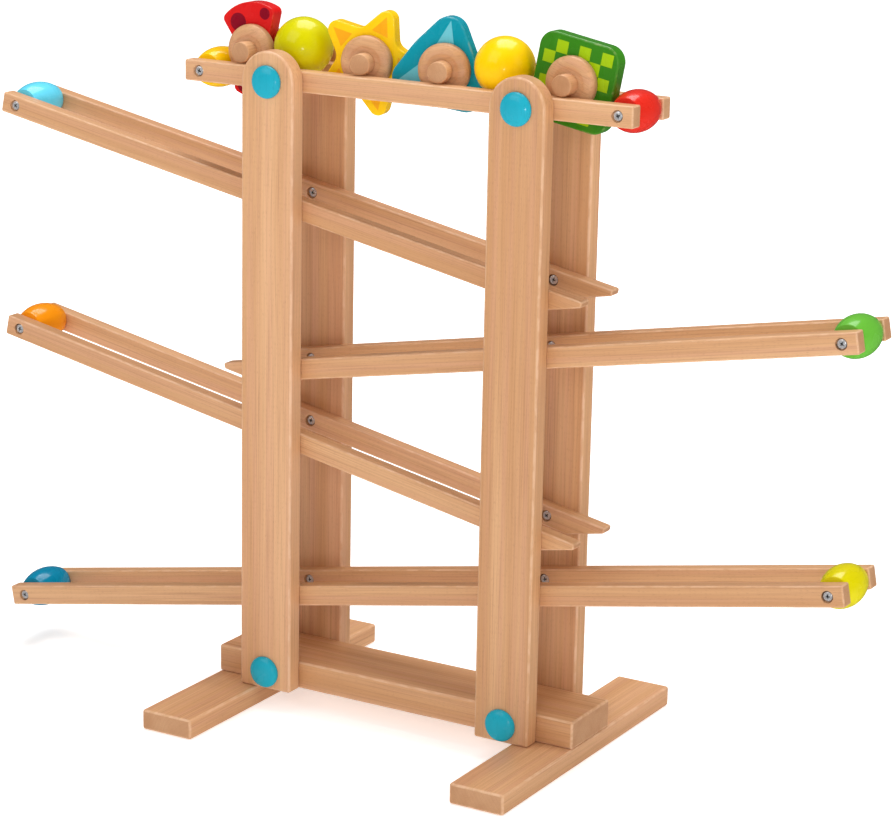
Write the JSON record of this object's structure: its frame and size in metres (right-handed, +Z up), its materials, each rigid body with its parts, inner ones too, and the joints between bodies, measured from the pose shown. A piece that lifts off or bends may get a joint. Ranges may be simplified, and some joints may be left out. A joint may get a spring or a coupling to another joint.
{
  "type": "marble run",
  "caption": "Toy marble run: a beech tower with a level storage track on top and zigzag rail ramps below, coloured stop beads, loose balls and rolling figures on dowel axles.",
  "frame": {"origin": "middle of the footprint, on the floor under the feet", "axes": "+X along the tracks to the right, +Y to the back, +Z up"},
  "size_m": [0.7424, 0.27, 0.5502],
  "materials": {
    "beech": "sanded, clear matt lacquer",
    "steel": "bright zinc",
    "cap_blue": "gloss lacquer over wood",
    "paint_yellow": "gloss lacquer over wood",
    "paint_red": "gloss lacquer over wood",
    "paint_sky_blue": "gloss lacquer over wood",
    "paint_green": "gloss lacquer over wood",
    "paint_orange": "gloss lacquer over wood",
    "paint_lime": "gloss lacquer over wood",
    "paint_teal": "gloss lacquer over wood",
    "paint_leaf_green": "gloss lacquer over wood"
  },
  "bodies": {
    "tower": {"foot_left": "beech", "foot_right": "beech", "base_plank": "beech", "upright_front_left": "beech", "upright_front_right": "beech", "upright_back_left": "beech", "upright_back_right": "beech", "top_rail_front": "beech", "top_rail_back": "beech", "ramp_1_rail_front": "beech", "ramp_1_rail_back": "beech", "ramp_2_rail_front": "beech", "ramp_2_rail_back": "beech", "ramp_3_rail_front": "beech", "ramp_3_rail_back": "beech", "ramp_4_rail_front": "beech", "ramp_4_rail_back": "beech", "stop_bead_top_yellow": "paint_yellow", "stop_bead_top_red": "paint_red", "stop_bead_1_sky_blue": "paint_sky_blue", "stop_bead_2_green": "paint_green", "stop_bead_3_orange": "paint_orange", "stop_bead_4_teal": "paint_teal", "stop_bead_4_lime": "paint_lime", "bead_screws": "steel", "rail_screws": "steel", "foot_screws": "steel", "cap_bolts": "steel", "blue_caps": "cap_blue"},
    "red_figure": {"red_wings_board": "paint_red", "red_wings_hub_front": "beech", "red_wings_hub_back": "beech", "red_wings_axle": "beech"},
    "lime_ball": {"lime_ball": "paint_lime"},
    "star_figure": {"star_board": "paint_yellow", "star_hub_front": "beech", "star_hub_back": "beech", "star_axle": "beech"},
    "triangle_figure": {"triangle_board": "paint_teal", "triangle_hub_front": "beech", "triangle_hub_back": "beech", "triangle_axle": "beech"},
    "yellow_ball": {"yellow_ball": "paint_yellow"},
    "square_figure": {"square_board": "paint_leaf_green", "square_hub_front": "beech", "square_hub_back": "beech", "square_axle": "beech"}
  },
  "joints": [
    {"name": "red_figure_lift", "type": "slide", "parent": "tower", "child": "red_figure", "axis": [0, 0, 1], "range_m": [0, 0.12]},
    {"name": "lime_ball_lift", "type": "slide", "parent": "red_figure", "child": "lime_ball", "axis": [0, 0, 1], "range_m": [0, 0.12]},
    {"name": "star_figure_lift", "type": "slide", "parent": "tower", "child": "star_figure", "axis": [0, 0, 1], "range_m": [0, 0.12]},
    {"name": "triangle_figure_lift", "type": "slide", "parent": "tower", "child": "triangle_figure", "axis": [0, 0, 1], "range_m": [0, 0.12]},
    {"name": "yellow_ball_lift", "type": "slide", "parent": "triangle_figure", "child": "yellow_ball", "axis": [0, 0, 1], "range_m": [0, 0.12]},
    {"name": "square_figure_lift", "type": "slide", "parent": "tower", "child": "square_figure", "axis": [0, 0, 1], "range_m": [0, 0.12]}
  ]
}
